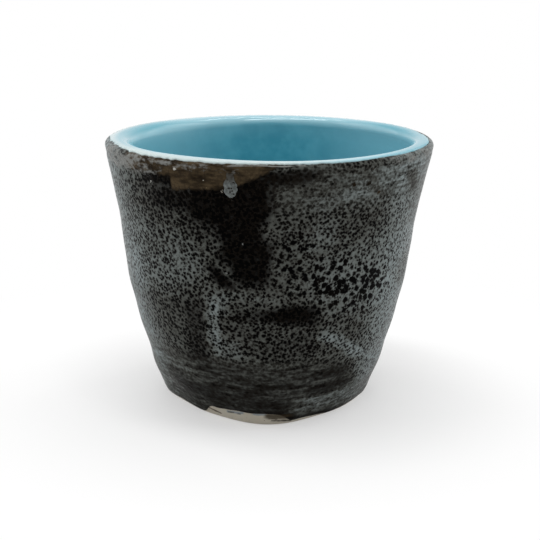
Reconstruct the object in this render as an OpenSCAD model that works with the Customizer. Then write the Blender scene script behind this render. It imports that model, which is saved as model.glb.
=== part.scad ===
// Hand-thrown stoneware cup: a round lip on a wall that was thrown with three broad
// finger ridges, and a foot that was pressed into a soft square while the clay was wet.
// One lump of fired clay carries four glaze coats, each a skin of its own on the clay
// or on the coat below it. Every coat is lofted on the same grid as the clay, so the
// faces that touch share their points.

/* [Form] */
// Height from the table to the top of the glazed lip
cup_h = 73.6; // [50:0.5:110]
// Radius of the clay wall just under the lip
lip_r = 44.4; // [36:0.1:60]
// Radius of the clay at the foot
foot_r = 27.4; // [24:0.1:40]
// Radius that the lower wall is drawn towards
low_pull_r = 38.9; // [30:0.1:54]
// Radius that the upper wall is drawn towards
high_pull_r = 39.1; // [30:0.1:54]
// Height of the finger ridges left by throwing
ridge_t = 0.2; // [0:0.05:0.6]
// Rise from one finger ridge to the next
ridge_pitch = 34; // [12:0.5:45]
// Height of the middle finger ridge above the table
ridge_z = 35.3; // [20:0.1:50]

/* [Foot] */
// How far each of the four corners of the foot is pushed out
corner_push = 1.4; // [0:0.1:2]
// Direction of the front corner
corner_dir = -86; // [-135:1:-45]
// Sharpness of the corners, from round at 1 to pointed at 4
corner_point = 1.8; // [1:0.05:4]
// How far the pressed foot is stretched along one diagonal
stretch = 1.8; // [0:0.1:2.5]
// Direction of that diagonal
stretch_dir = -51; // [-90:1:90]
// How soon the pressing fades up the wall, from 1 slowly to 3 soon
press_fade = 1.75; // [1:0.05:3]
// How far the foot sits off the centre of the lip, to the left
foot_off = 1.85; // [0:0.05:4]
// Radius of the worn edge round the foot
foot_round = 0.5; // [0.3:0.1:0.8]
// Radius of the hollow turned in the underside
hollow_r = 18.5; // [10:0.5:20]
// Depth of that hollow
hollow_depth = 1.3; // [0.5:0.1:3]
// Width of the slope round the hollow
hollow_slope = 1; // [0.3:0.1:2]

/* [Lip] */
// Thickness of the clay from the outer face to the top of the lip
lip_out = 2.6; // [1:0.1:4]
// Thickness of the clay from the top of the lip to the inner face
lip_in = 3; // [1:0.1:5]
// Height of the round on the outside of the lip
lip_rise = 1.5; // [0.8:0.1:4]
// Height of the round on the inside of the lip
lip_fall = 2.8; // [1:0.1:5]
// How far the lip rises on its higher side
lip_tilt = 0.2; // [0:0.05:1]

/* [Inside] */
// Thickness of the clay under the middle of the floor
floor_t = 7.4; // [4:0.1:12]
// Radius that the lower part of the inner wall is drawn towards
bowl_wall_r = 33; // [26:0.5:36]
// Height above the floor that the inner wall is drawn towards
bowl_wall_z = 6.5; // [2:0.5:20]
// Radius that the flat of the floor is drawn towards
bowl_floor_r = 29.5; // [16:0.5:30]
// How far the hollow of the cup sits off the lip's centre, to the right
bowl_off = 0.9; // [0:0.1:2]

/* [Glaze] */
// Thickness of the turquoise liner glaze
liner_t = 0.45; // [0.2:0.05:1]
// Thickness of the dark iron glaze on the outside
iron_t = 0.3; // [0.15:0.05:0.8]
// Thickness of the grey glaze brushed over the iron glaze
grey_t = 0.15; // [0.1:0.05:0.6]
// Thickness of every coat at its thin edge
edge_t = 0.1; // [0.05:0.01:0.15]
// Width over which a coat thins out at its edge
edge_w = 0.6; // [0.4:0.1:1.5]
// Least height of bare clay between the table and the glaze
bare_h = 0.9; // [0.8:0.1:3]
// Extra height of the bare patch at the front of the foot
bare_patch_h = 2.9; // [0:0.1:4]
// Height of the iron glaze left uncovered above the foot
iron_foot_h = 0.6; // [0.4:0.1:4]
// Height of the iron glaze left uncovered under the lip
iron_lip_h = 1.4; // [1:0.1:5]
// Extra height of the brown band under the lip, at the front left
brown_band_h = 4.6; // [0:0.1:8]

/* [Run] */
// Direction of the run of grey glaze below the lip
run_dir = -102; // [-180:1:180]
// Length of the run
run_l = 6.6; // [2:0.1:10]
// Width of the drop that it ends in
run_w = 3.8; // [1:0.1:5]
// Thickness of the run at its middle
run_t = 0.5; // [0.2:0.05:1]
// Clearance between the run and the iron glaze that it lies on
run_seat = 0.05; // [0.02:0.01:0.2]

/* [Hidden] */

clay_h = cup_h - liner_t;      // top of the bare clay lip
wall_h = clay_h - lip_rise;    // where the wall turns into the lip
crest_r = lip_r - lip_out;     // radius of the top of the lip
bowl_r = crest_r - lip_in;     // radius of the hollow just under the lip
skew = 0.9;                    // threefold unevenness of the pressed foot
skew_dir = -4;
tilt_dir = 180;                // the lip's higher side
full_round = 0.68;             // handle of the Bezier quarter turns, a little fuller than a circle
around = 56;                   // columns of the grid
eps = 0.01;

// Rows of the grid, from the table up the outside, over the lip and down to the floor.
wall_steps = 8;
lip_steps = 4;
bowl_steps = 9;
row_bare = 3;                               // lower edge of the iron glaze
row_grey_low = row_bare + 2;                // lower edge of the grey glaze
row_grey_high = row_grey_low + wall_steps + 2;
row_lip_line = row_grey_high + 4;           // iron glaze and liner glaze meet here
row_crest = row_lip_line + 2;
row_last = row_crest + lip_steps + bowl_steps - 1;

function bezier(p, t) =
    pow(1 - t, 3) * p[0] + 3 * t * pow(1 - t, 2) * p[1]
    + 3 * t * t * (1 - t) * p[2] + pow(t, 3) * p[3];
function unit(v) = v / norm(v);
function mix(a, b, t) = a + (b - a) * t;
function angle(column) = 360 * column / around;
function turn(a, b) = (a - b + 900) % 360 - 180;            // signed angle from b to a
function bump(a, middle, width) = exp(-pow(turn(a, middle) / width, 2));
function patch(a, middle, width) = exp(-pow(turn(a, middle) / width, 4));   // flatter than a bump

// Where each coat starts and ends, as a height above the table or below the lip.
function bare_line(a) = bare_h + bare_patch_h * patch(a, -107, 25)
    + 0.8 * bump(a, 38, 14) + 1.1 * bump(a, 150, 20) + 0.15 * (1 + sin(9 * a));
function grey_low(a) = bare_line(a) + edge_w + iron_foot_h * (0.65 + 0.35 * sin(5 * a + 40));
function grey_high(a) = wall_h - iron_lip_h * (1 + 0.3 * sin(7 * a)) - brown_band_h * bump(a, -128, 34)
    - 3.6 * bump(a, run_dir, 9) - 1.4 * bump(a, 95, 30);
function lip_cover(a) = 0.52 + 0.27 * cos(a - 48) + 0.04 * sin(6 * a + 20) + 0.03 * sin(11 * a);

// Bezier handles of the outer wall, and the extra radius of the pressed foot.
function press(a) = corner_push * (2 * pow(pow(cos(2 * (a - corner_dir)), 2), corner_point) - 1)
    + stretch * cos(2 * (a - stretch_dir)) + skew * cos(3 * (a - skew_dir));
function worn_edge(z) = z < foot_round ? foot_round - sqrt(pow(foot_round, 2) - pow(foot_round - z, 2)) : 0;
function wall_r(a, t) = bezier([foot_r, low_pull_r, high_pull_r, lip_r], t)
    + ridge_t * cos(360 * (t * wall_h - ridge_z) / ridge_pitch)
    + pow(1 - t, press_fade) * press(a) - worn_edge(t * wall_h);

// Radius and height of the clay along one section: 0 to 1 is the outer wall,
// 1 to 1.5 the outside of the lip, 1.5 to 2 its inside and 2 to 3 the hollow.
function lip_start(a) = [wall_r(a, 1), wall_h];
function lip_rise_handle(a) =
    let (back = 0.01, slope = unit(lip_start(a) - [wall_r(a, 1 - back), wall_h * (1 - back)]))
    lip_start(a) + slope * lip_rise * full_round;
function section(a, s) =
    s < 1 ? [wall_r(a, s), s * wall_h]
    : s < 1.5 ? bezier([lip_start(a), lip_rise_handle(a), [crest_r + lip_out * full_round, clay_h],
        [crest_r, clay_h]], 2 * (s - 1))
    : s < 2 ? bezier([[crest_r, clay_h], [crest_r - lip_in * full_round, clay_h],
        [bowl_r, clay_h - lip_fall * (1 - full_round)], [bowl_r, clay_h - lip_fall]], 2 * (s - 1.5))
    : bezier([[bowl_r, clay_h - lip_fall], [bowl_wall_r, floor_t + bowl_wall_z],
        [bowl_floor_r, floor_t], [0, floor_t]], s - 2);
function shift(s) =
    s < 1 ? [-foot_off, 0] * (1 - s)
    : s < 1.5 ? [0, 0]
    : [bowl_off, 0] * min(1, 2 * (s - 1.5));
function tilt(a, s) = lip_tilt * cos(a - tilt_dir) * (s < 1 ? s : s < 2 ? 1 : pow(3 - s, 2));
function clay(a, s) =
    let (p = section(a, s), o = shift(s))
    [p[0] * cos(a) + o[0], p[0] * sin(a) + o[1], p[1] + tilt(a, s)];
function clay_normal(a, s) =
    let (da = 1, ds = 0.002)
    unit(cross(clay(a + da, s) - clay(a - da, s), clay(a, min(3, s + ds)) - clay(a, max(0, s - ds))));

// Section parameters of the rows of one column.
function stations(a) =
    let (
        bare = bare_line(a) / wall_h,
        low = grey_low(a) / wall_h,
        high = grey_high(a) / wall_h,
        line = 1 + 0.5 * lip_cover(a),
        thin = edge_w / wall_h,
        thin_lip = 0.04
    )
    concat(
        [0, 0.3 * foot_round / wall_h, foot_round / wall_h],
        [bare, bare + thin, low],
        [for (i = [0:wall_steps]) mix(low + thin, high - thin, i / wall_steps)],
        [high, 1, mix(1, line, 0.5), line - thin_lip, line, line + thin_lip],
        [for (i = [0:lip_steps]) mix(1.5, 2, i / lip_steps)],
        [for (i = [1:bowl_steps - 1]) 2 + i / bowl_steps]
    );

grid_s = [for (j = [0:around - 1]) stations(angle(j))];
grid_point = [for (k = [0:row_last]) [for (j = [0:around - 1]) clay(angle(j), grid_s[j][k])]];
grid_normal = [for (k = [0:row_last]) [for (j = [0:around - 1]) clay_normal(angle(j), grid_s[j][k])]];
floor_centre = [bowl_off, 0, floor_t];
foot_centre = [-foot_off, 0, 0];

// Points of the rows from first to last, lifted off the clay by a thickness for each row.
function lifted(first, last, lift) =
    [for (k = [first:last]) for (j = [0:around - 1]) grid_point[k][j] + lift[k] * grid_normal[k][j]];
// Triangles between two rows whose points start at a and b, the same way round on each coat.
function band(a, b, flip = false) =
    [for (j = [0:around - 1]) let (n = (j + 1) % around)
        each flip ? [[a + j, b + n, a + n], [a + j, b + j, b + n]]
            : [[a + j, a + n, b + n], [a + j, b + n, b + j]]];
function sheet(start, rows, flip = false) =
    [for (k = [0:rows - 2]) each band(start + k * around, start + (k + 1) * around, flip)];
function fan(ring, pole, flip = false) =
    [for (j = [0:around - 1]) let (n = (j + 1) % around)
        flip ? [ring + n, ring + j, pole] : [ring + j, ring + n, pole]];
// OpenSCAD wants faces clockwise as seen from outside.
function outward(faces) = [for (f = faces) [f[2], f[1], f[0]]];

// A coat that runs round the wall as a band with two edges.
module ring_coat(first, last, under, over) {
    rows = last - first + 1;
    size = rows * around;
    polyhedron(
        concat(lifted(first, last, over), lifted(first, last, under)),
        outward(concat(sheet(0, rows), sheet(size, rows, true),
            band(size, 0), band(size - around, 2 * size - around))),
        convexity = 6
    );
}

// A coat that runs from an edge on the lip down to the middle of the floor.
module cup_coat(first, over) {
    rows = row_last - first + 1;
    size = rows * around;
    bare = [for (k = [0:row_last]) 0];
    polyhedron(
        concat(lifted(first, row_last, over), lifted(first, row_last, bare),
            [floor_centre + [0, 0, over[row_last]], floor_centre]),
        outward(concat(sheet(0, rows), sheet(size, rows, true), band(size, 0),
            fan(size - around, 2 * size), fan(2 * size - around, 2 * size + 1, true))),
        convexity = 6
    );
}

bare_lift = [for (k = [0:row_last]) 0];
iron_lift = [for (k = [0:row_last]) k <= row_bare || k >= row_lip_line ? edge_t : iron_t];
grey_lift = [for (k = [0:row_last])
    iron_lift[k] + (k <= row_grey_low || k >= row_grey_high ? edge_t / 2 : grey_t)];
liner_lift = [for (k = [0:row_last]) k <= row_lip_line ? edge_t : liner_t];

// Wall, floor and foot, thrown from one lump.
module clay_body() {
    color("#8a857a")
    difference() {
        polyhedron(
            concat(lifted(0, row_last, bare_lift), [floor_centre, foot_centre]),
            outward(concat(sheet(0, row_last + 1), fan(row_last * around, (row_last + 1) * around),
                fan(0, (row_last + 1) * around + 1, true))),
            convexity = 6
        );
        translate(foot_centre - [0, 0, eps])
            cylinder(h = hollow_depth + eps, r1 = hollow_r + hollow_slope, r2 = hollow_r, $fn = 96);
    }
}

// Poured inside and over the lip.
module liner_glaze() {
    color("#4f9fb0") cup_coat(row_lip_line, liner_lift);
}

// Covers the outside from the bare foot to the lip.
module iron_glaze() {
    color("#1e1a14") ring_coat(row_bare, row_lip_line, bare_lift, iron_lift);
}

// Brushed over the iron glaze and broken into fine specks by the firing.
module grey_glaze() {
    color("#55595a") ring_coat(row_grey_low, row_grey_high, iron_lift, grey_lift);
}

// Half width and thickness of the run at a share u of its length and v of its half width:
// a narrow neck, then a drop that is widest at two thirds of the length.
run_rows = 9;
run_cols = 7;
function run_taper(u, least) = sqrt(max(least, 1 - pow(u, 4)));
function run_half_w(u) = run_w * (0.24 + 0.26 * pow(sin(min(90, 150 * u)), 3)) * run_taper(u, 0.04);
function run_h(u, v) = edge_t / 2 + run_t * (0.55 + 0.45 * u) * (1 - v * v) * run_taper(u, 0);
function run_point(i, j, over) =
    let (
        u = i / (run_rows - 1),
        v = 2 * j / (run_cols - 1) - 1,
        s = 1 - (iron_lip_h / 2 + u * run_l) / wall_h,
        a = run_dir + v * run_half_w(u) * 180 / PI / wall_r(run_dir, s)
    )
    clay(a, s) + (iron_t + run_seat + (over ? run_h(u, v) : 0)) * clay_normal(a, s);
run_size = run_rows * run_cols;
function upper(i, j) = i * run_cols + j;
function lower(i, j) = run_size + i * run_cols + j;
function quad(a, b, c, d) = [[a, b, c], [a, c, d]];
run_faces = concat(
    [for (i = [0:run_rows - 2]) for (j = [0:run_cols - 2]) each concat(
        quad(upper(i, j), upper(i + 1, j), upper(i + 1, j + 1), upper(i, j + 1)),
        quad(lower(i, j), lower(i, j + 1), lower(i + 1, j + 1), lower(i + 1, j)))],
    [for (i = [0:run_rows - 2]) for (j = [0, run_cols - 1]) each j == 0
        ? quad(lower(i, j), lower(i + 1, j), upper(i + 1, j), upper(i, j))
        : quad(upper(i, j), upper(i + 1, j), lower(i + 1, j), lower(i, j))],
    [for (j = [0:run_cols - 2]) for (i = [0, run_rows - 1]) each i == 0
        ? quad(upper(i, j), upper(i, j + 1), lower(i, j + 1), lower(i, j))
        : quad(lower(i, j), lower(i, j + 1), upper(i, j + 1), upper(i, j))]
);

// A run of grey glaze that ended in a drop on the brown band.
module glaze_run() {
    color("#6b7478")
    polyhedron(
        [for (over = [true, false]) for (i = [0:run_rows - 1])
            for (j = [0:run_cols - 1]) run_point(i, j, over)],
        outward(run_faces),
        convexity = 4
    );
}

clay_body();
liner_glaze();
iron_glaze();
grey_glaze();
glaze_run();
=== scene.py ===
import math
import random
from functools import cached_property

import bmesh
import bpy
import numpy as np
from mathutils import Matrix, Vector, noise


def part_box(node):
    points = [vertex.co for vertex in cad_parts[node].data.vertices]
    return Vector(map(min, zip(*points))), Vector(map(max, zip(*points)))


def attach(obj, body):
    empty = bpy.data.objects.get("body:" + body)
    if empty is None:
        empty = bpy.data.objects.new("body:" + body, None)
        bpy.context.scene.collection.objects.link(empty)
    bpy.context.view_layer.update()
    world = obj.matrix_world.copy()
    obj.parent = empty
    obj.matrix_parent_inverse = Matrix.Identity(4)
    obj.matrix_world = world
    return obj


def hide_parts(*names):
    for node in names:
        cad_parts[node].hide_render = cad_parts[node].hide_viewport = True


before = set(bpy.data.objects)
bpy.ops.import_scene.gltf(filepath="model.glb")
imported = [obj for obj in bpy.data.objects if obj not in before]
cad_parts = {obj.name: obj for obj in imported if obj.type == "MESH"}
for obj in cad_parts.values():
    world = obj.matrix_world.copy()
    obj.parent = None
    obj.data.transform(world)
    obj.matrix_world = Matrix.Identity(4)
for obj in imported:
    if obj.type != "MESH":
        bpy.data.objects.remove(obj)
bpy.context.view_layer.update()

# Stoneware body
# One lump of buff stoneware, thrown on a wheel to a flared wall with a thick round lip. Its foot was
# pressed to a soft square while the clay was wet, and a shallow hollow was turned in the underside.
# Fired unglazed where it stands on the table, so the clay shows at the foot and underneath.

mm = 0.001
# Millimetres and degrees. Throughout, a is an angle round the cup, with its front at -90 and its right
# at 0, and s is a place on its section, counted as section() says.
# Lip: how far it rises outside and falls inside, the width of each half, and its tilt
lip_rise, lip_fall, lip_out, lip_in, lip_tilt = 1.5, 2.8, 2.6, 3.0, 0.2
clay_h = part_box("clay_body")[1].z / mm - lip_tilt
wall_h = clay_h - lip_rise
# Wall: its radius at the lip and the foot, the two handles of its curve, finger ridges, throwing rings
lip_r, foot_r, low_pull_r, high_pull_r = 44.4, 27.4, 38.9, 39.1
ridge_t, ridge_pitch, ridge_z = 0.2, 34.0, 35.3
ring_t, ring_pitch, ring_z = 0.15, 12.0, 22.3
# Foot: corners pushed out, an oval stretch and how fast both fade up the wall, a three-sided skew, how
# far the foot is off the lip's middle, and its worn edge
corner_push, corner_dir, corner_point = 1.4, -86, 1.8
stretch, stretch_dir, press_fade = 1.8, -51, 1.75
skew, skew_dir = 0.9, -4
foot_off, foot_round = 1.85, 0.5
# Underside hollow and the bowl inside, with the handles of the bowl's curve
hollow_r, hollow_depth, hollow_slope = 18.5, 1.3, 1.0
crest_r = lip_r - lip_out
bowl_r = crest_r - lip_in
floor_t, bowl_wall_r, bowl_wall_z, bowl_floor_r, bowl_off = 7.4, 33.0, 6.5, 29.5, 0.9
full_round = 0.68


def cosd(angle):
    return np.cos(np.radians(angle))


def sind(angle):
    return np.sin(np.radians(angle))


def bezier(p, t):
    """A point of a Bezier curve; each of the four handles may vary from point to point."""
    return (1 - t) ** 3 * p[0] + 3 * t * (1 - t) ** 2 * p[1] + 3 * t * t * (1 - t) * p[2] + t ** 3 * p[3]


def turn(a, middle):
    """How far an angle is turned from a middle one, from -180 to 180 degrees."""
    return (a - middle + 180) % 360 - 180


def swell(a, middle, half_angle, sharp=2):
    """1 at the middle angle, falling to 0 on both sides of it; a larger sharp gives a flatter top."""
    return np.exp(-(turn(a, middle) / half_angle) ** sharp)


def press(a):
    """Extra radius of the foot where the thumbs pushed it out or in."""
    corners = corner_push * (2 * (cosd(2 * (a - corner_dir)) ** 2) ** corner_point - 1)
    return corners + stretch * cosd(2 * (a - stretch_dir)) + skew * cosd(3 * (a - skew_dir))


def wall_r(a, t):
    """Radius of the outer wall at a share t of its height, with its finger ridges and throwing rings."""
    z = t * wall_h
    drawn = bezier([foot_r, low_pull_r, high_pull_r, lip_r], t)
    ridges = ridge_t * cosd(360 * (z - ridge_z) / ridge_pitch)
    rings = ring_t * (1 - t) * cosd(360 * (z - ring_z) / ring_pitch)
    worn = foot_round - np.sqrt(foot_round ** 2 - np.maximum(0, foot_round - z) ** 2)
    return drawn + ridges + rings + (1 - t) ** press_fade * press(a) - worn


def section(a, s):
    """Radius and height of the clay. The section runs from the middle of the underside, s = -1, to the
    foot, 0, up the wall to 1, over the lip to 2 and down the inside to the middle of the floor, 3."""
    r_foot, wall_top = wall_r(a, 0), wall_r(a, 1)
    under = np.clip(1 + s, 0, 1)
    hollow = np.clip((hollow_r + hollow_slope - under * r_foot) / hollow_slope, 0, 1)
    back = 0.01
    lean = np.hypot(wall_top - wall_r(a, 1 - back), wall_h * back)
    handle_r = wall_top + (wall_top - wall_r(a, 1 - back)) / lean * lip_rise * full_round
    handle_z = wall_h + wall_h * back / lean * lip_rise * full_round
    outer, inner = np.clip(2 * (s - 1), 0, 1), np.clip(2 * (s - 1.5), 0, 1)
    t, bowl = np.clip(s, 0, 1), np.clip(s - 2, 0, 1)
    zone = [s < 0, s < 1, s < 1.5, s < 2]
    r = np.select(zone, [
        under * r_foot,
        wall_r(a, t),
        bezier([wall_top, handle_r, crest_r + lip_out * full_round, crest_r], outer),
        bezier([crest_r, crest_r - lip_in * full_round, bowl_r, bowl_r], inner),
    ], bezier([bowl_r, bowl_wall_r, bowl_floor_r, 0], bowl))
    lip_foot = clay_h - lip_fall
    z = np.select(zone, [
        hollow_depth * hollow,
        t * wall_h,
        bezier([wall_h, handle_z, clay_h, clay_h], outer),
        bezier([clay_h, clay_h, clay_h - lip_fall * (1 - full_round), lip_foot], inner),
    ], bezier([lip_foot, floor_t + bowl_wall_z, floor_t, floor_t], bowl))
    return r, z


def clay(a, s):
    """Points on the clay, in millimetres."""
    r, z = section(a, s)
    across = np.where(s < 1, -foot_off * (1 - np.clip(s, 0, 1)), bowl_off * np.clip(2 * (s - 1.5), 0, 1))
    rise = np.where(s < 1, np.clip(s, 0, 1), np.where(s < 2, 1, (3 - np.clip(s, 2, 3)) ** 2))
    return np.stack([r * cosd(a) + across, r * sind(a), z - lip_tilt * cosd(a) * rise], -1)


def clay_normal(a, s):
    """The way that the clay faces at each point, from its neighbours along and up the wall."""
    step_a, step_s, tiny = 1.0, 0.002, 1e-9
    along = clay(a + step_a, s) - clay(a - step_a, s)
    up = clay(a, np.minimum(3, s + step_s)) - clay(a, np.maximum(0, s - step_s))
    outward = np.cross(along, up) + np.array([0, 0, tiny])
    return outward / np.maximum(tiny, np.linalg.norm(outward, axis=-1, keepdims=True))


def cloud(points, size, seed=0):
    """Smooth noise from -1 to 1 at each point; size is its width, or a width for each axis."""
    seeds_apart = 17.3
    places = points / np.array(size) + seeds_apart * seed
    return np.array([noise.noise(place) for place in places.tolist()])


def patch(a, z, middle, height, half_angle, half_height, sharp=4):
    """1 inside a rounded patch of the wall and 0 well outside it."""
    along, up = np.abs(turn(a, middle) / half_angle), np.abs((z - height) / half_height)
    return np.exp(-along ** sharp - up ** sharp)


# Thumb dents in the wall: angle, height, half width in degrees, half height and depth
dents = [(0, 5.5, 9, 3.0, 0.35), (-176, 13, 12, 3.5, 0.25), (-98, 44, 11, 8, 0.12), (40, 30, 16, 9, 0.2)]
lump_t, ripple_t, sunk_t = 0.07, 0.05, 0.05
even_foot_h, even_lip_h = 3, 8


def uneven(a, s):
    """How far the hand-thrown wall stands out from the drawn one, which it meets at lip and foot."""
    points = clay(a, s)
    z = points[:, 2]
    lumps = lump_t * cloud(points, 13, 1) + ripple_t * cloud(points, (9, 9, 4.5), 2) - sunk_t
    for *place, depth in dents:
        lumps -= depth * patch(a, z, *place, 2)
    fade = np.clip(z / even_foot_h, 0, 1) * np.clip((wall_h - z) / even_lip_h, 0, 1)
    return np.where((s > 0) & (s < 1), lumps * fade, 0)


def laid(a, s, lift):
    """Points that stand a thickness off the clay, in metres."""
    return (clay(a, s) + (lift + uneven(a, s))[:, None] * clay_normal(a, s)) * mm


columns, crease, touching = 540, 1.0, 1e-7


def smoothed(bm):
    """Turns faces outwards and shades them smooth, apart from bends sharper than crease, in radians."""
    bmesh.ops.recalc_face_normals(bm, faces=bm.faces)
    for face in bm.faces:
        face.smooth = True
    for edge in bm.edges:
        edge.smooth = edge.calc_face_angle(0) < crease


def stood(name, bm):
    """Puts a finished mesh into the scene as an object."""
    mesh = bpy.data.meshes.new(name)
    bm.to_mesh(mesh)
    bm.free()
    piece = bpy.data.objects.new(name, mesh)
    bpy.context.scene.collection.objects.link(piece)
    return piece


def rolled(name, rows, place, closed=False):
    """A flat grid rolled round the cup, each point laid by place(angle, row). A closed one joins its last
    row to its first."""
    steps = rows if closed else rows - 1
    bm = bmesh.new()
    bmesh.ops.create_grid(bm, x_segments=columns, y_segments=steps, size=0.5)
    flat = np.array([vert.co for vert in bm.verts])
    row = np.rint((flat[:, 1] + 0.5) * steps).astype(int) % rows
    for vert, point in zip(bm.verts, place(360 * flat[:, 0], row).tolist()):
        vert.co = point
    bmesh.ops.remove_doubles(bm, verts=bm.verts, dist=touching)
    bmesh.ops.delete(bm, geom=[edge for edge in bm.edges if edge.is_wire], context="EDGES")
    smoothed(bm)
    return stood(name, bm)


def shade(code):
    """A colour written as a web code, as the shader wants it."""
    parts = [int(code[i:i + 2], 16) / 255 for i in (1, 3, 5)]
    return tuple(p / 12.92 if p < 0.04045 else ((p + 0.055) / 1.055) ** 2.4 for p in parts) + (1.0,)


class Wire:
    """One value of a finish. Sums and products of wires add the Math nodes that work them out."""

    def __init__(self, finish, socket):
        self.finish = finish
        self.socket = socket

    def math(self, operation, *values, clamp=False):
        """A Math node, with the values or wires of its sockets in their order."""
        settings = {"operation": operation, "use_clamp": clamp}
        return self.finish.node("ShaderNodeMath", settings, dict(enumerate(values)))

    def __add__(self, other):
        return self.math("ADD", self, other)

    def __radd__(self, other):
        return self.math("ADD", other, self)

    def __sub__(self, other):
        return self.math("SUBTRACT", self, other)

    def __rsub__(self, other):
        return self.math("SUBTRACT", other, self)

    def __mul__(self, other):
        return self.math("MULTIPLY", self, other)

    def __rmul__(self, other):
        return self.math("MULTIPLY", other, self)

    def __truediv__(self, other):
        return self.math("DIVIDE", self, other)

    def __rtruediv__(self, other):
        return self.math("DIVIDE", other, self)

    def __abs__(self):
        return self.math("ABSOLUTE", self)

    def root(self):
        return self.math("SQRT", self)

    def larger(self, other):
        """The larger of two values."""
        return self.math("MAXIMUM", self, other)

    def held(self):
        """The value held between 0 and 1."""
        return self.math("ADD", self, 0.0, clamp=True)

    def step(self, low, high):
        """0 where the value is below low, 1 above high and a smooth rise between them."""
        return self.finish.node("ShaderNodeMapRange", {"interpolation_type": "SMOOTHSTEP"},
                                {"Value": self, "From Min": low, "From Max": high})


class Finish:
    """One material or backdrop, whose nodes are added as its look is written out."""

    def __init__(self, name, kind=bpy.data.materials):
        self.material = kind.new(name)
        self.material.use_nodes = True
        self.tree = self.material.node_tree
        self.tree.nodes.clear()

    @cached_property
    def here(self):
        """The point that is shaded, in metres."""
        return self.node("ShaderNodeTexCoord", output="Object")

    def node(self, kind, settings=None, sockets=None, output=0):
        """Any node: its settings or a ramp's stops first, then the values and wires of its sockets."""
        made = self.tree.nodes.new(kind)
        for name, value in (settings or {}).items():
            if name == "stops":
                ramp = made.color_ramp
                ramp.elements[0].position, ramp.elements[0].color = value[0]
                ramp.elements[-1].position, ramp.elements[-1].color = value[-1]
                for place, colour in value[1:-1]:
                    ramp.elements.new(place).color = colour
            else:
                setattr(made, name, value)
        for key, value in (sockets or {}).items():
            if isinstance(value, Wire):
                self.tree.links.new(value.socket, made.inputs[key])
            else:
                made.inputs[key].default_value = value
        return Wire(self, made.outputs[output]) if made.outputs else made

    def blend(self, low, high, share):
        """A colour between two, by a wire from 0 to 1."""
        return self.node("ShaderNodeMix", {"data_type": "RGBA"}, {0: share, 6: low, 7: high}, output=2)

    def vector(self, operation, a, b):
        return self.node("ShaderNodeVectorMath", {"operation": operation}, {0: a, 1: b})

    def along(self, axis, where=None):
        """How far the shaded point, or another, lies along an axis, in millimetres."""
        return self.node("ShaderNodeSeparateXYZ", {}, {0: where or self.here}, output=axis) / mm

    def mask(self, name):
        """A value that was kept for each point of the piece."""
        return self.node("ShaderNodeAttribute", {"attribute_name": name}, output="Fac")

    def lumps(self, size, detail=2.0, squash=(1, 1, 1), where=None, output=0):
        """Soft noise from 0 to 1, of a width in millimetres; squash below 1 draws it out along an axis."""
        spot = self.vector("MULTIPLY", where or self.here, squash)
        sockets = {"Vector": spot, "Scale": 1 / (size * mm), "Detail": detail}
        return self.node("ShaderNodeTexNoise", {}, sockets, output)

    def nudged(self, size, far):
        """The shaded point, moved this way and that by noise of a size, both in millimetres."""
        shift = self.vector("SUBTRACT", self.lumps(size, output="Color"), (0.5, 0.5, 0.5))
        return self.vector("ADD", self.here, self.vector("MULTIPLY", shift, (far * mm,) * 3))

    def spot(self, point, radius, where):
        """1 at a point given in metres, and 0 further from it than the radius in millimetres."""
        settings = {"operation": "DISTANCE"}
        away = self.node("ShaderNodeVectorMath", settings, {0: where, 1: point}, output="Value")
        return 1 - away.step(0.5 * radius * mm, radius * mm)

    def surface(self, colour, roughness, height=None, relief=0.0, **constants):
        """Joins the look to the surface; relief is how deep the height's full range is, in millimetres."""
        sockets = {"Base Color": colour, "Roughness": roughness, **constants}
        if height is not None:
            bump = {"Height": height, "Distance": relief * mm}
            sockets["Normal"] = self.node("ShaderNodeBump", {}, bump)
        skin = self.node("ShaderNodeBsdfPrincipled", {}, sockets)
        self.node("ShaderNodeOutputMaterial", {}, {"Surface": skin})
        return self.material


least_bare = 0.4


def bare_line(a):
    """Height where the glaze starts: above a bare patch at the front left, and low elsewhere."""
    broad = (least_bare + 2.6 * swell(a, -101, 23.5, 10) + 1.1 * swell(a, 38, 14) + 1.4 * swell(a, 150, 20)
             + 0.35 * swell(a, -68, 15, 4) + 0.15 * (1 + sind(9 * a)))
    finger_marks = (0.5 * swell(a, -122, 3.5) - 0.2 * swell(a, -115.5, 3)
                    + 0.5 * swell(a, -99, 9) + 0.6 * swell(a, -87.5, 6.5))
    return np.maximum(least_bare, broad + finger_marks) + 0.08 * sind(23 * a) * sind(7 * a + 50)


# Rows of the mesh: radii under the foot, then places on the section, close together where the clay shows
ring_in_r, ring_rows = hollow_r + 4.5, 2
under_radii = np.concatenate([
    np.linspace(0, hollow_r, 38), np.linspace(hollow_r + 0.1, hollow_r + hollow_slope, 8),
    np.linspace(hollow_r + hollow_slope + 0.3, ring_in_r, 8)])
foot_band_h = 6
above_s = np.concatenate([
    np.linspace(0, foot_band_h, 31) / wall_h, np.linspace(0.12, 1, 12),
    np.linspace(1.1, 2, 10), np.linspace(2.1, 3, 12)])
# Turning rings in the hollow: depth, spacing, and how far in from its edge they fade
turned_t, turned_pitch, turned_fade = 0.06, 1.7, 1.5


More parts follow.
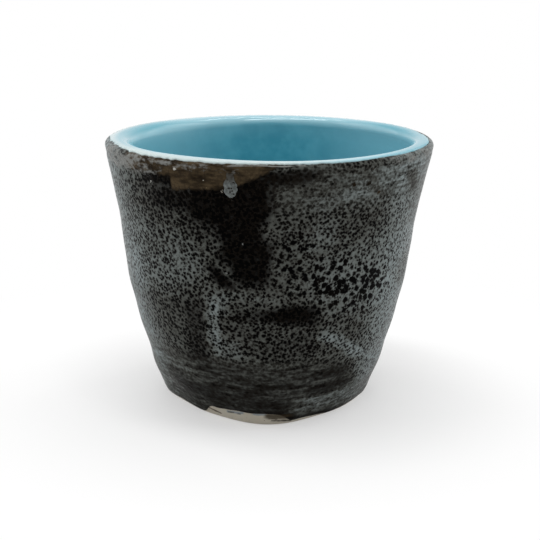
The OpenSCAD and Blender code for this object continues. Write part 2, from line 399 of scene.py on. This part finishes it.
def body_points(a, row):
    """Points of the clay, from the middle of the underside round to the middle of the floor inside."""
    r_foot = wall_r(a, 0)
    n_under = len(under_radii)
    first = n_under + ring_rows
    on_ring = ring_in_r + (r_foot - ring_in_r) * (row - n_under + 1) / (ring_rows + 1)
    under = np.where(row < n_under, under_radii[np.minimum(row, n_under - 1)], on_ring)
    s = np.where(row < first, under / r_foot - 1, above_s[np.clip(row - first, 0, len(above_s) - 1)])
    points = clay(a, s)
    turned = turned_t * (1 + cosd(360 * under / turned_pitch))
    points[:, 2] -= np.where(row < first, turned * np.clip((hollow_r - under) / turned_fade, 0, 1), 0)
    on_wall = s > 0
    points[on_wall] += uneven(a[on_wall], s[on_wall])[:, None] * clay_normal(a[on_wall], s[on_wall])
    return points * mm


body = rolled("stoneware_body", len(under_radii) + ring_rows + len(above_s), body_points)

clay_look = Finish("fired_stoneware")
grog = clay_look.lumps(0.7, 3).step(0.62, 0.72)
elsewhere = clay_look.vector("ADD", clay_look.here, (0.3, 0.1, 0.2))
iron_specks = clay_look.lumps(0.55, 1, where=elsewhere).step(0.70, 0.76)
warmth = clay_look.lumps(7, 3)
clay_colour = clay_look.blend(shade("#C9C4B7"), shade("#B4AB9A"), warmth)
clay_colour = clay_look.blend(clay_colour, shade("#D8D4C9"), 0.5 * grog)
clay_colour = clay_look.blend(clay_colour, shade("#3A2C20"), 0.8 * iron_specks)
# Smears of glaze left on the bare foot: angle and height of each end, half width and colour
smears = [(-127, 2.2, -118.5, 1.35, 0.24, "#43372A"), (-113, 2.7, -104, 3.2, 0.42, "#858C90"),
          (-112.5, 2.6, -109.5, 2.7, 0.25, "#5A5850"), (-107, 2.65, -105.5, 2.7, 0.18, "#4E5050"),
          (-98, 3.3, -92, 3.4, 0.34, "#8A9195"), (-90.5, 3.0, -79.5, 2.5, 1.05, "#4C4538"),
          (-90, 2.2, -86, 1.9, 0.2, "#4E473A"), (-84, 2.4, -80, 2.2, 0.2, "#4E473A"),
          (-88.5, 1.5, -78.5, 0.9, 0.24, "#1C150D")]


def keep(piece, name, values):
    """Keeps a value for each point of a piece, for its finish to read."""
    piece.data.attributes.new(name, "FLOAT", "POINT").data.foreach_set("value", values.astype(np.float32))


def spread(piece):
    """Angle, height and place of each point of a piece, in degrees and millimetres."""
    points = np.empty(3 * len(piece.data.vertices))
    piece.data.vertices.foreach_get("co", points)
    points = points.reshape(-1, 3) / mm
    return np.degrees(np.arctan2(points[:, 1], points[:, 0])), points[:, 2], points


def smeared(a, z, fray, start, low, end, high, half):
    """1 on a smear that runs between two places of the foot, and 0 away from it."""
    run_x, run_z = foot_r * math.radians(end - start), high - low
    x, rise = foot_r * np.radians(turn(a, start)), z - low
    share = np.clip((x * run_x + rise * run_z) / (run_x ** 2 + run_z ** 2), 0, 1)
    far = np.hypot(x - share * run_x, rise - share * run_z) + fray
    return np.exp(-np.clip(far / half, 0, 3) ** 4)


body_a, body_z, body_places = spread(body)
body_fray = 0.16 * cloud(body_places, 0.8, 12)
for number, (*route, code) in enumerate(smears):
    keep(body, f"smear_{number}", smeared(body_a, body_z, body_fray, *route))
    clay_colour = clay_look.blend(clay_colour, shade(code), clay_look.mask(f"smear_{number}"))
sand = clay_look.lumps(0.35, 4)
body.data.materials.append(clay_look.surface(
    clay_colour, 0.82 + 0.1 * grog, sand, 0.12, **{"Specular IOR Level": 0.3}))
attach(body, "root")
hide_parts("clay_body")

# Turquoise liner glaze
# A glossy turquoise glaze poured into the fired cup and out again, so it covers the inside and the lip.
# It is thick and deep in colour in the bowl, breaks pale over the lip and ends in a ragged edge there.

liner_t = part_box("liner_glaze")[1].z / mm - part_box("clay_body")[1].z / mm
edge_t, thin_lip = 0.1, 0.04


def lip_line(a):
    """Where the liner meets the iron glaze on the lip, as a place on the section; ragged close up."""
    cover = 0.52 + 0.27 * cosd(a - 48) + 0.04 * sind(6 * a + 20) + 0.03 * sind(11 * a)
    cover += 0.24 * swell(a, -88, 14) + 0.12 * swell(a, -48, 16)
    cover += 0.16 * swell(a, -116, 14) + 0.42 * swell(a, -154, 26, 4)
    cover = np.maximum(cover, 0.53 + 0.39 * np.clip(sind(a), 0, 1) ** 0.6)
    rim = np.stack([lip_r * cosd(a), lip_r * sind(a), 0 * a], -1)
    ragged = 1 - 0.6 * swell(a, -35, 35, 4)
    return 1 + 0.5 * cover + ragged * (0.05 * cloud(rim, 1.6, 3) + 0.04 * cloud(rim, 0.7, 4))


# Rows of the mesh: shares of the way over the lip, places in the bowl, and places on the back
lip_share = np.linspace(0, 1, 26)
bowl_s = np.concatenate([np.linspace(2.02, 2.9, 66), np.linspace(2.91, 3, 14)])
liner_back_s = np.concatenate([np.linspace(3, 2, 12), np.linspace(1.92, 1.62, 4)])
crown_s, crown_half, bowl_start, bowl_thinner = 1.62, 0.25, 2.05, 0.03


def liner_points(a, row):
    """Points of the liner: its face from its edge on the lip to the middle of the bowl, then its back."""
    line = lip_line(a)
    n_lip, n_face = len(lip_share), len(lip_share) + len(bowl_s)
    on_lip = line + (2 - line) * lip_share[np.minimum(row, n_lip - 1)]
    on_bowl = bowl_s[np.clip(row - n_lip, 0, len(bowl_s) - 1)]
    on_back = liner_back_s[np.clip(row - n_face, 0, len(liner_back_s) - 1)]
    last = row == n_face + len(liner_back_s)
    s = np.select([row < n_lip, row < n_face, last], [on_lip, on_bowl, line], on_back)
    full = np.clip((s - line) / thin_lip, 0, 1)
    crown = 0.1 * swell(a, -120, 20) - 0.24 * swell(a, -74, 30)
    crown = crown * np.exp(-((s - crown_s) / crown_half) ** 2)
    flow = np.where(s > bowl_start, 0.03 * cloud(clay(a, s), (7, 7, 12), 5) - bowl_thinner, crown)
    lift = edge_t + (liner_t - edge_t) * np.sqrt(full) + flow
    return laid(a, s, np.where(row < n_face, lift, 0))


liner = rolled("turquoise_liner", len(lip_share) + len(bowl_s) + len(liner_back_s) + 1, liner_points,
               closed=True)


def point_on(angle, s, lift):
    """One point that stands a thickness off the clay, in metres."""
    return tuple(laid(np.array([angle]), np.array([s]), lift)[0])


liner_look = Finish("turquoise_glaze")
right, back, height = [liner_look.along(axis) for axis in "XYZ"]
radius = (right * right + back * back).root()
# How far a point lies to the left or right, where the side lamps shine into the bowl; below it paints
# their light into the colour
toward_side_lamps = abs(right / radius) * radius.step(0, 30)
mottle = liner_look.lumps(5, 4)
deep = liner_look.blend(shade("#3F98AD"), shade("#54A9BC"), mottle.step(0.3, 0.7))
# Painted light: the bowl is lighter towards the left and right sides, where the side lamps fall
deep = liner_look.blend(deep, shade("#72B2C2"), toward_side_lamps.step(0.15, 0.98))
# Paler near the lip, where the glaze runs thin; the band is wider and paler at the sides, which is painted
# light
milky_and_side_lit = 0.25 * height.step(66, 71.5) + 0.6 * height.step(71.4 - 2.6 * toward_side_lamps, 72.1)
near_lip = liner_look.blend(deep, shade("#90C4D1"), milky_and_side_lit + 0.1 * toward_side_lamps)
# The crest is paler at the front and back, partly as a painted reflection of the lamps above, and bluer at
# the sides
crest = liner_look.blend(shade("#94C6D3"), shade("#5FA7B8"), toward_side_lamps.step(0.5, 0.95))
liner_colour = liner_look.blend(near_lip, crest, height.step(71.9, 73.1))
# The outer edge of the lip is whiter over the left half and the front: the glaze breaks pale over the
# sharp edge, and the rest is a painted highlight
pale_edge_and_highlight = radius.step(40.8, 43.1) * (1 - right.step(0, 30)) * (1 - 0.2 * toward_side_lamps.step(0.75, 0.98))
liner_colour = liner_look.blend(liner_colour, shade("#C4D4D4"), pale_edge_and_highlight)
ripple = 0.6 * liner_look.lumps(6, 2) + 0.4 * liner_look.lumps(1.8, 1)
ripple = ripple + 0.25 * liner_look.lumps(0.9, 1) * height.step(71, 72.5)
# A pinhole, painted dark as the shade inside a pit that the mesh does not have
pinhole_shade = liner_look.spot(point_on(39, 2.06, liner_t), 0.5, liner_look.nudged(0.6, 0.6))
liner_colour = liner_look.blend(liner_colour, shade("#1E5060"), 0.8 * pinhole_shade)
# Pale spots on the glaze: first a painted highlight on the lower rim of the pinhole, then a pale dot:
# angle, place on the section and radius
for angle, spot_s, spot_r in [(38.5, 2.14, 0.7), (73, 2.08, 0.4)]:
    pale_spot = liner_look.spot(point_on(angle, spot_s, liner_t), spot_r, liner_look.here)
    liner_colour = liner_look.blend(liner_colour, shade("#A8D4DE"), 0.7 * pale_spot)
wet = height.step(71.7, 72.3) * back.step(20, 34)
liner.data.materials.append(liner_look.surface(
    liner_colour, 0.25 - 0.18 * height.step(71.4, 72.2), ripple, 0.06,
    **{"Specular IOR Level": 0.3, "Coat Weight": wet, "Coat Roughness": 0.04}))
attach(liner, "root")
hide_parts("liner_glaze")

# Iron glaze
# A dark iron glaze brushed on the outside from just above the table to the lip. It fires nearly black
# where it is thick and brown where it is thin, as in the band left bare of grey glaze at the front left.

iron_t, edge_w, lip_wipe = 0.3, 0.6, 0.04
wipe_s, wipe_fade = 0.85, 0.1
iron_lip_h, brown_band_h, run_dir, run_dip, back_dip = 1.4, 4.6, -102, 3.6, 1.4


def grey_low(a):
    """Height where the grey glaze starts, a little above the iron glaze's own edge."""
    return bare_line(a) + edge_w + 0.6 * (0.65 + 0.35 * sind(5 * a + 40))


def grey_high(a):
    """Height where the grey glaze ends: near the lip, but lower over the brown band and at the run."""
    under_lip = wall_h - iron_lip_h * (1 + 0.3 * sind(7 * a)) - brown_band_h * swell(a, -128, 34)
    return under_lip - run_dip * swell(a, run_dir, 9) - back_dip * swell(a, 95, 30)


# Rows of the mesh: close together at the foot and at the lip, few where the grey glaze covers the coat
low_share, mid_rows, high_share = np.linspace(0, 1, 9), 10, np.linspace(0, 1, 36)
iron_face, iron_back, overlap = len(low_share) + mid_rows + len(high_share), 12, 1.5


def iron_s(a, row):
    """Place on the section of each row of the coat's face."""
    foot_end, lip_end = bare_line(a) / wall_h, lip_line(a)
    first, last = (grey_low(a) + overlap) / wall_h, (grey_high(a) - overlap) / wall_h
    n_low, n_high = len(low_share), len(high_share)
    on_low = foot_end + (first - foot_end) * low_share[np.minimum(row, n_low - 1)]
    on_mid = first + (last - first) * np.clip(row - n_low + 1, 0, mid_rows + 1) / (mid_rows + 1)
    on_high = last + (lip_end - last) * high_share[np.clip(row - n_low - mid_rows, 0, n_high - 1)]
    return np.select([row < n_low, row < n_low + mid_rows], [on_low, on_mid], on_high)


def iron_lift(a, s):
    """How thick the iron glaze is on the clay: thin at its two edges, a little thinner near the lip."""
    edge = np.minimum((s - bare_line(a) / wall_h) * wall_h / edge_w, (lip_line(a) - s) / thin_lip)
    full = edge_t + (iron_t - edge_t) * np.sqrt(np.clip(edge, 0, 1))
    return full - lip_wipe * np.clip((s - wipe_s) / wipe_fade, 0, 1)


def iron_points(a, row):
    """Points of the coat: its face from foot to lip, then its back."""
    behind = row >= iron_face
    foot_end, lip_end = bare_line(a) / wall_h, lip_line(a)
    on_back = lip_end + (foot_end - lip_end) * (row - iron_face) / (iron_back - 1)
    s = np.where(behind, on_back, iron_s(a, row))
    return laid(a, s, np.where(behind, 0, iron_lift(a, s)))


iron = rolled("iron_coat", iron_face + iron_back, iron_points, closed=True)

# Brush strokes of grey glaze: angle, height, half width in degrees, half height, how far they lean in
# degrees per millimetre, and how much film they leave or wipe off
strokes = [
    (-102, 64.5, 12, 6, 0.1, -0.75), (-99.5, 56, 6.4, 8, 0.25, -0.65), (-96, 47.5, 6.5, 5.5, 0.2, -0.65),
    (-107.5, 43.2, 2.7, 3.1, -1.2, -0.5), (-118, 63.3, 15, 3.3, 0, -0.3), (-128.5, 68.3, 6, 1.5, 0, -0.9),
    (-112, 57, 9, 5, 0.3, -0.14), (-132, 50, 18, 9, 0, 0.12), (-127, 59, 12, 6, 0, -0.06),
    (-138, 41, 18, 5, 0, 0.1), (-120, 27, 6, 11, 0.15, -0.2), (-110, 35.8, 5, 2.8, 0, 0.2),
    (-112.8, 29.5, 3.2, 6.5, 0, 0.24), (-107, 23.2, 7.5, 3, 0, 0.14), (-97, 39, 10, 2.2, -0.5, 0.05),
    (-96, 33.4, 8, 1.6, 0, -0.14), (-86, 33.8, 7, 1.8, 0, -0.34), (-77.5, 33.0, 8.5, 3.4, 0, -0.3),
    (-79.5, 33.6, 6.5, 2.0, 0, -0.4), (-75, 26, 6, 5, 0, -0.08), (-92, 25, 10, 4, 0, -0.05),
    (-84, 70, 10, 1.6, 0, -0.4), (-71, 55, 5, 4, 0, 0.14), (-56, 41, 20, 10, 0, 0.16),
    (-64, 27, 6, 2.6, 0, 0.1), (-54, 22, 5.5, 5.5, -2.6, 0.28), (-64, 64, 15, 4.5, 0, 0.12),
    (-54, 67, 2, 3.4, -1.33, -0.2), (-40, 68.5, 20, 3.5, 0, 0.12), (-21, 63, 15, 10, 0, -0.13),
    (-32, 66, 3, 3, -1, -0.3), (-60, 64.6, 6, 1.2, -1, 0.14), (-72, 66, 8, 1.2, 0, -0.1),
    (-56, 14.5, 9, 1.6, -1.0, -0.2), (-57, 9.8, 14, 0.8, 0, -0.22), (-87, 12.6, 9, 0.7, 0, -0.2),
    (-118, 6.5, 7, 3.2, 0, -0.14), (-134, 8.3, 12, 1.6, 0, -0.14), (-58, 5.8, 20, 3.2, 0, 0.34),
    (-100, 9, 8, 4, 0, -0.08), (-90, 6.5, 8, 1.5, 0, -0.12), (-142, 14, 20, 3, 0, 0.16),
]
rng = random.Random(11)
for middle in range(-5, 190, 14):
    strokes.append((middle + rng.uniform(-6, 6), rng.uniform(8, 64), rng.uniform(8, 24), rng.uniform(2, 8),
                    rng.uniform(-0.5, 0.5), rng.choice([-0.35, -0.2, 0.15, 0.25])))
# Where the specks are large: angle, height, half width, half height and amount
coarse = [(-56, 40, 28, 13, 1.1), (-72, 70.6, 14, 1.8, 1.0), (-82, 52, 12, 12, 0.6),
          (-111, 30, 9, 12, 0.75), (-96, 33, 9, 3.5, 0.5), (60, 40, 40, 15, 0.9)]
# Smooth film with brush streaks, in the same order
smooth = [(-58, 67, 33, 5.5, 0.55), (-28, 68, 28, 5.5, 0.85), (-10, 62, 20, 8, 0.5),
          (110, 66, 40, 6, 0.55)]
# Where a wiped brush left pale liner glaze under the lip, in the same order
wiped = [(-124, 72.3, 20, 0.7, 0.5), (-110, 71.3, 7, 0.5, 0.45), (-148, 70.9, 20, 2.6, 0.68),
         (-22, 71.6, 26, 1.4, 0.45), (-90, 72.7, 11, 0.14, 1.0), (-102, 71.2, 3.5, 0.8, 0.35)]

# The brown band: its two ends, how softly it ends sideways and downwards, its lower edge at the left,
# where that drops and to what height, and where it rises again and from what height
band_left, band_right, band_fade_a, band_fade_h = -146, -80, 2.5, 0.5
band_left_h, drop_a, drop_h, rise_a, rise_h = 69.1, -123, 65.3, -101, 67.3
# The film: how full it is, how far up it is brushed thin at the foot, and how much is lost there
film_full, thin_h, thin_fade, thin_loss = 0.48, 21, 5, 0.18


def brown_low(a):
    """Lower edge of the brown band: level at the left, a drop, and a rise to the lip past the run."""
    dropped, risen = drop_h + 0.09 * (a - drop_a), rise_h + 0.36 * (a - rise_a)
    return np.where(a < drop_a, band_left_h, np.maximum(dropped, risen))


def painted(a, z, points):
    """What the brushes left at each point, from 0 to 1: grey film, with painted sheen down the left and
    right sides, large specks, smooth film, bare brown and pale liner glaze."""
    wander = cloud(points, (6, 6, 3), 6)
    fray = 0.25 * cloud(points, (2.5, 2.5, 0.8), 10)
    band = np.clip((z - brown_low(a + 0.6 * wander) + fray) / band_fade_h, 0, 1)
    band = band * np.clip((a - band_left) / band_fade_a + fray, 0, 1) * (a < band_right)
    brown = np.maximum(band, 0.8 * patch(a + 2 * wander, z, -84, 2.9, 6, 0.6))
    thin = np.clip((thin_h - 11 * swell(a, -30, 22) - z) / thin_fade, 0, 1)
    film = film_full + 0.06 * cloud(points, 11, 7) + 0.05 * cloud(points, (9, 9, 1.3), 8)
    film -= thin_loss * thin
    loose = np.clip(0.6 + 2 * sind(a), 0, 1)
    for middle, height, half_angle, half_height, lean, change in strokes:
        leaning = a + (1.6 + 8 * loose) * wander - lean * (z - height)
        film += change * patch(leaning, z + 0.9 * wander, middle, height, half_angle, half_height)
    film -= 0.3 * np.clip(1 - (z - bare_line(a)) / 1.6, 0, 1)
    # Painted sheen: fuller film down the left and right sides makes the wall lighter where the glaze's
    # sheen shows at its edges
    drift = a + 30 * loose * cloud(points, (12, 12, 5), 13)
    film += 0.34 * swell(drift, -18, 26, 4) + 0.38 * swell(drift, -172, 25, 4)
    large, plain, chalk = 0 * a, thin, 0 * a
    for *place, amount in coarse:
        large += amount * patch(a, z, *place, 2)
    for *place, amount in smooth:
        plain = np.maximum(plain, amount * patch(a, z + 2 * wander, *place))
    for *place, amount in wiped:
        chalk = np.maximum(chalk, amount * patch(a, z + 0.3 * wander, *place))
    return {"film": np.clip(film, 0, 1) * (1 - brown), "coarse": np.clip(large, 0, 1), "smooth": plain,
            "brown": brown, "chalk": chalk}


def paint(piece):
    """Keeps what the brushes left on each point of a piece."""
    for name, values in painted(*spread(piece)).items():
        keep(piece, name, values)


speck_w, coarse_w = 0.9, 1.7


def specks(look, size):
    """Distance from the middle of the nearest speck, in speck widths, with ragged outlines."""
    moved = look.node("ShaderNodeVectorRotate", {"rotation_type": "EULER_XYZ"},
                      {"Vector": look.nudged(0.5 * size, 0.6 * size), "Rotation": (0.6, 0.5, 0.3)})
    return look.node("ShaderNodeTexVoronoi", {}, {"Vector": moved, "Scale": 1 / (size * mm)}, "Distance")


# Pits, chips and specks in the wall as dark and pale spots; the pale ones are partly their own colour and
# partly painted highlights on the rims of pits and chips: angle, height, radius and colour
marks_and_glints = [(-121, 71.0, 0.6, "#B4B3AC"), (-132, 66.7, 0.35, "#A9A9A4"), (-111, 68.8, 0.32, "#A9A498"),
         (-110, 66.9, 0.3, "#7A6C50"), (-105, 66.3, 0.3, "#98948A"), (-98.5, 52.8, 0.25, "#7A7C7A"),
         (-104.5, 45.0, 0.3, "#7A7C7A"), (-62, 67.3, 0.8, "#1D160D"), (-56, 67.2, 0.9, "#161109"),
         (-51, 64.5, 0.6, "#2A2013"), (-66, 61.8, 0.5, "#060505"), (-63, 62.3, 0.5, "#060505"),
         (-60, 61.6, 0.5, "#060505"), (-64, 60.1, 0.5, "#060505"), (-153, 7.4, 0.6, "#9A9C9A"),
         (-60, 5.2, 0.35, "#8A8C8A"), (-55, 71, 0.4, "#22180E")]


def wall_look(name):
    """Iron glaze under a broken film of grey glaze."""
    look = Finish(name)
    film, large, plain, brown, chalk = [
        look.mask(left) for left in ("film", "coarse", "smooth", "brown", "chalk")]
    long_streaks = look.lumps(1.1, 4, squash=(0.1, 0.1, 1))
    short_streaks = look.lumps(1.0, 4, squash=(0.4, 0.4, 1))
    streaks = 0.75 * long_streaks + 0.7 * short_streaks - 0.725
    grain = look.lumps(0.6, 3, squash=(0.6, 0.6, 1)) - 0.5
    film = film + streaks * (0.1 + 0.6 * plain) + 0.25 * grain
    bare = 0.7 - 0.3 * film - 0.1 * large
    field = specks(look, speck_w) + 0.35 * specks(look, speck_w / 2) - 0.17
    holes = field.step(bare - 0.22, bare + 0.24)
    wide = large * (0.62 - 0.1 * film)
    web = holes * specks(look, coarse_w).step(wide - 0.14, wide + 0.06)
    veil = 0.68 + 2.6 * streaks + 2.4 * grain
    web = (web + (veil - web) * plain * 0.8).larger(0.0)
    thin = look.lumps(2.2, 4, squash=(0.25, 0.25, 1)).step(0.45, 0.75)
    dark = look.blend(shade("#010101"), shade("#080604"), thin)
    fine_hair = look.lumps(0.9, 4, squash=(0.3, 0.3, 1))
    broad_hair = look.lumps(4, 4, squash=(0.5, 0.5, 1))
    hair = (0.6 * fine_hair + 0.6 * broad_hair - 0.1).step(0.3, 0.68)
    dark = look.blend(dark, look.blend(shade("#150F09"), shade("#4E4231"), hair), brown)
    greys = [(0.0, shade("#060505")), (0.3, shade("#333432")), (0.5, shade("#525450")),
             (0.7, shade("#6E7472")), (1.0, shade("#8F9A9C"))]
    tint = look.node("ShaderNodeValToRGB", {"stops": greys}, {"Fac": film + 0.1 * (field - 0.62)})
    rust = look.blend(dark, shade("#282119"), 0.4 * web.step(0.02, 0.3))
    colour = look.blend(rust, tint, (web * (1 - brown)).held())
    blotches = look.lumps(1.6, 5, squash=(0.5, 0.5, 1)) - 0.5
    chalky = (chalk + 1.8 * blotches + 1.2 * grain).step(0.25, 0.85) * chalk.step(0.03, 0.2)
    colour = look.blend(colour, shade("#7E7F7C"), chalky)
    ragged = look.nudged(0.6, 1.4)
    for angle, z, mark_r, code in marks_and_glints:
        spot = look.spot(point_on(angle, z / wall_h, 0.4), mark_r, ragged)
        colour = look.blend(colour, shade(code), spot)
    return look.surface(colour, 0.36 + 0.06 * web, web + 0.5 * hair * brown, 0.07, **{
        "Specular IOR Level": 0.015, "Sheen Weight": 0.5, "Sheen Roughness": 0.22})


paint(iron)
iron.data.materials.append(wall_look("iron_glaze"))
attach(iron, "root")
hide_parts("iron_glaze")

# Grey glaze
# A pale grey glaze brushed over the iron glaze in broad strokes. In the firing it crawled into a fine
# web. The iron glaze shows through it in dark specks, and nearly whole where the film is thin.

grey_t, thin_edge_t, thinnest = 0.15, 0.02, 0.4
grey_face, grey_back = 138, 14


def grey_points(a, row):
    """Points of the coat: its face from its lower to its upper edge, then its back on the iron glaze."""
    behind = row >= grey_face
    back_step = (grey_face - 1) * (1 - (row - grey_face) / (grey_back - 1))
    step = np.where(behind, back_step, row)
    low, high = grey_low(a) / wall_h, grey_high(a) / wall_h
    s = low + (high - low) * step / (grey_face - 1)
    edge = np.clip(np.minimum(s - low, high - s) * wall_h / edge_w, 0, 1)
    film = thinnest + (1 - thinnest) * painted(a, s * wall_h, clay(a, s))["film"]
    thick = thin_edge_t + (grey_t - thin_edge_t) * edge * film
    return laid(a, s, iron_lift(a, s) + np.where(behind, 0, thick))


grey = rolled("grey_coat", grey_face + grey_back, grey_points, closed=True)
paint(grey)
grey.data.materials.append(wall_look("grey_glaze"))
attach(grey, "root")
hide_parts("grey_glaze")

# Run of grey glaze
# A drop of grey glaze that ran down from the lip over the brown band and froze there in the firing.
# It is narrow and thin where it starts, wide and thick at its round end, and lies on the iron glaze.

run_l, run_w, run_t, run_seat = 6.2, 3.6, 0.5, 0.05
run_rows, run_cols, sheet_t = 34, 21, 0.01
# Half width at the neck and what it gains, as shares of run_w, and how far down it has gained it
neck, wider, wide_at = 0.24, 0.26, 0.6

bm = bmesh.new()
bmesh.ops.create_grid(bm, x_segments=run_rows - 1, y_segments=run_cols - 1, size=0.5)
bmesh.ops.solidify(bm, geom=bm.faces[:], thickness=sheet_t)
drawn = np.array([vert.co for vert in bm.verts])
down, out = np.clip(drawn[:, 0] + 0.5, 0, 1), 2 * np.clip(drawn[:, 1], -0.5, 0.5)
over = drawn[:, 2] > drawn[:, 2].mean()
half_w = run_w * (neck + wider * sind(np.minimum(90, 90 * down / wide_at)) ** 3)
half_w = half_w * np.sqrt(np.maximum(0.04, 1 - down ** 4))
half_w = half_w * (1 + 0.22 * cloud(np.stack([7 * down, 3 * np.sign(out), 0 * down], -1), 1, 9))
run_s = 1 - (iron_lip_h / 2 + down * run_l) / wall_h
run_a = run_dir + np.degrees(out * half_w / wall_r(run_dir, run_s))
proud = run_t * (0.55 + 0.45 * down) * (1 - out * out) * np.sqrt(np.maximum(0, 1 - down ** 4))
run_lift = iron_t + run_seat + np.where(over, edge_t / 2 + proud, 0)
for vert, point in zip(bm.verts, laid(run_a, run_s, run_lift).tolist()):
    vert.co = point
smoothed(bm)
run = stood("grey_run", bm)

run_look = Finish("grey_run_glaze")
dots = specks(run_look, speck_w).step(0.22, 0.34)
mottled = run_look.blend(shade("#4F5352"), shade("#6C7271"), run_look.lumps(0.8, 3).step(0.35, 0.65))
run_colour = run_look.blend(shade("#1A1815"), mottled, dots)
thin_neck = run_look.along("Z", run_look.nudged(0.8, 1.5)).step(67.8, 70)
run_colour = run_look.blend(run_colour, shade("#2E281F"), 0.8 * thin_neck)
run.data.materials.append(run_look.surface(run_colour, 0.34, dots, 0.05, **{"Specular IOR Level": 0.15}))
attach(run, "root")
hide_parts("glaze_run")

# Floor, light and camera
# A plain white sweep under soft studio light: a soft box overhead, a large lamp at each side, a strip
# above and behind the lip, and a pale surround. The camera stands where the photograph was taken.

floor_size = 6.0
white = (1.0, 1.0, 1.0, 1.0)
bm = bmesh.new()
bmesh.ops.create_grid(bm, x_segments=1, y_segments=1, size=floor_size / 2)
floor = stood("floor", bm)
floor_look = Finish("floor_paper")
seen = floor_look.node("ShaderNodeLightPath", output="Is Camera Ray")
paper_colour = floor_look.blend(shade("#E6E6E6"), white, seen)
paper = floor_look.node("ShaderNodeBsdfDiffuse", {}, {"Color": paper_colour})
sweep = floor_look.node("ShaderNodeEmission", {}, {"Color": white, "Strength": 1.0})
out_there = floor_look.node("ShaderNodeVectorMath", {"operation": "LENGTH"}, {0: floor_look.here}, "Value")
faded = (0.35 + 0.65 * out_there.step(50 * mm, 130 * mm)) * seen
floor_skin = floor_look.node("ShaderNodeMixShader", {}, {0: faded, 1: paper, 2: sweep})
floor_look.node("ShaderNodeOutputMaterial", {}, {"Surface": floor_skin})
floor.data.materials.append(floor_look.material)

room_light = 0.55
room = Finish("pale_room", bpy.data.worlds)
bpy.context.scene.world = room.material
looked_at, mirrored, through = [
    room.node("ShaderNodeLightPath", output=kind)
    for kind in ("Is Camera Ray", "Is Glossy Ray", "Is Transmission Ray")]
strength = room_light + (1 - room_light) * looked_at.larger(mirrored).larger(through)
backdrop = room.node("ShaderNodeBackground", {}, {"Color": white, "Strength": strength})
room.node("ShaderNodeOutputWorld", {}, {"Surface": backdrop})


def aimed(name, data, place, target):
    """Puts a lamp or a camera into the scene at a place, turned to a target."""
    stand = bpy.data.objects.new(name, data)
    stand.location = place
    stand.rotation_euler = (Vector(target) - Vector(place)).to_track_quat("-Z", "Y").to_euler()
    bpy.context.scene.collection.objects.link(stand)
    return stand


# Lamps: name, the two sides in metres, watts, place and target
for name, wide, long, watts, place, target in [
        ("soft_box", 0.55, 0.12, 1.45, (-0.04, -0.06, 0.77), (0, 0, 0.04)),
        ("left_lamp", 0.8, 0.8, 2.2, (-0.6, 0.15, 0.3), (0, 0, 0.04)),
        ("right_lamp", 0.8, 0.8, 2.4, (0.6, 0.15, 0.3), (0, 0, 0.04)),
        ("back_strip", 0.5, 0.05, 0.5, (0, 0.3, 0.74), (0, 0, 0.07))]:
    lamp = bpy.data.lights.new(name, "AREA")
    lamp.shape, lamp.size, lamp.size_y, lamp.energy = "RECTANGLE", wide, long, watts
    aimed(name, lamp, place, target)

camera_side, camera_back, camera_h, aim_h = 0.19, 300, 118.2, 34.94
camera_data = bpy.data.cameras.new("camera")
camera_data.sensor_width, camera_data.lens = 36, 72.86
camera_data.clip_start, camera_data.clip_end = 0.01, 20
camera = aimed("camera", camera_data, Vector((camera_side, -camera_back, camera_h)) * mm,
               Vector((camera_side, 0, aim_h)) * mm)
bpy.context.scene.camera = camera
bpy.context.scene.view_settings.view_transform = "Standard"
